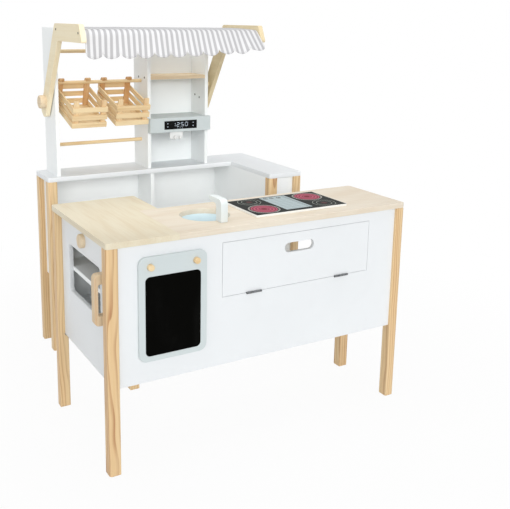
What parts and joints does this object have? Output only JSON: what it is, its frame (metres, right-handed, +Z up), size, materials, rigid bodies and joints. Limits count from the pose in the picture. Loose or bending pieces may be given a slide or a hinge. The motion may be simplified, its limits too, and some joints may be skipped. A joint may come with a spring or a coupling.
{
  "type": "toy market stall and play kitchen",
  "caption": "Child-size play shop: a kitchen counter with oven, sink, hob, chalkboard and fold-down hatch, and a market stall with tilting crates and a striped awning.",
  "frame": {"origin": "on the floor, under the middle of the set's bounding box", "axes": "+Z up, -Y towards the kitchen counter's front, +X to the right of someone facing that front"},
  "size_m": [0.924, 0.927, 1.092],
  "materials": {
    "pine": "clear-varnished pine with warm grain",
    "plywood": "pale birch plywood, matt varnish",
    "white_board": "white satin paint on board",
    "pale_wood": "bare pale wood, lightly oiled",
    "pale_blue_paint": "pale grey-blue satin paint",
    "sink_plastic": "pale blue moulded plastic",
    "hob_print": "dark printed face on a white-edged board",
    "slate": "matt black chalkboard paint",
    "screen": "glossy black display face",
    "white_plastic": "white moulded plastic",
    "hinge_steel": "plain zinc-plated steel",
    "awning_stripe": "woven cotton, grey and white stripes"
  },
  "bodies": {
    "frame": {"kitchen_front_left_leg": "pine", "kitchen_front_right_leg": "pine", "kitchen_back_left_leg": "pine", "kitchen_back_inner_leg": "pine", "kitchen_back_right_leg": "pine", "stall_front_left_leg": "pine", "stall_back_left_leg": "pine", "stall_back_right_leg": "pine", "wing_left_leg": "pine", "wing_right_leg": "pine", "worktop_left": "plywood", "worktop_right": "plywood", "left_awning_arm": "plywood", "right_awning_arm": "plywood", "front_panel": "white_board", "kitchen_end_panel": "white_board", "counter_shelf": "white_board", "oven_inner_side": "white_board", "oven_back": "white_board", "oven_floor": "white_board", "oven_shelf": "white_board", "stall_counter": "white_board", "stall_side_panel": "white_board", "stall_back_panel": "white_board", "stall_lower_divider": "white_board", "stall_floor": "white_board", "wing_inner_panel": "white_board", "wing_front_panel": "white_board", "wing_outer_panel": "white_board", "left_post": "white_board", "upper_divider": "white_board", "right_panel": "white_board", "upper_back_panel": "white_board", "chalkboard_pegs": "pale_wood", "upper_shelf": "pale_wood", "rails": "pale_wood", "awning_rods": "pale_wood", "hanging_knob": "pale_wood", "display_fascia": "pale_blue_paint", "display_shelf": "pale_blue_paint", "sink_bowl": "sink_plastic", "hob_plate": "hob_print", "display_screen": "screen", "display_hook": "white_plastic", "door_pivot_plate": "hinge_steel", "hinge_fixed_leaves": "hinge_steel", "hinge_pins": "hinge_steel", "awning_cloth": "awning_stripe"},
    "flap": {"flap_board": "white_board", "flap_hinge_leaves": "hinge_steel"},
    "oven_door": {"oven_door_panel": "white_board", "oven_door_handle": "pale_wood"},
    "oven_knob": {"oven_knob": "pale_wood"},
    "chalkboard": {"chalkboard_frame": "pale_blue_paint", "chalkboard_slate": "slate"},
    "tap": {"tap": "pale_blue_paint"},
    "left_crate": {"left_crate_posts": "pale_wood", "left_crate_boards": "pale_wood"},
    "right_crate": {"right_crate_posts": "pale_wood", "right_crate_boards": "pale_wood"}
  },
  "joints": [
    {"name": "flap_fold", "type": "hinge", "parent": "frame", "child": "flap", "pos_m": [0.1015, -0.4477, 0.4135], "axis": [1, 0, 0], "range_deg": [0, 180]},
    {"name": "oven_door_swing", "type": "hinge", "parent": "frame", "child": "oven_door", "pos_m": [-0.426, -0.0645, 0.406], "axis": [0, 0, -1], "range_deg": [0, 90]},
    {"name": "oven_knob_turn", "type": "hinge", "parent": "oven_door", "child": "oven_knob", "pos_m": [-0.432, -0.2405, 0.55], "axis": [-1, 0, 0], "continuous": true},
    {"name": "chalkboard_lift", "type": "slide", "parent": "frame", "child": "chalkboard", "axis": [0, -1, 0], "range_m": [0, 0.05]},
    {"name": "tap_swivel", "type": "hinge", "parent": "frame", "child": "tap", "pos_m": [-0.112, -0.396, 0.6], "axis": [0, 0, 1], "range_deg": [-75, 75]},
    {"name": "left_crate_tilt", "type": "hinge", "parent": "frame", "child": "left_crate", "pos_m": [-0.233, 0.3905, 0.9], "axis": [1, 0, 0], "range_deg": [-40, 25]},
    {"name": "right_crate_tilt", "type": "hinge", "parent": "frame", "child": "right_crate", "pos_m": [-0.086, 0.3905, 0.9], "axis": [1, 0, 0], "range_deg": [-40, 25]}
  ]
}
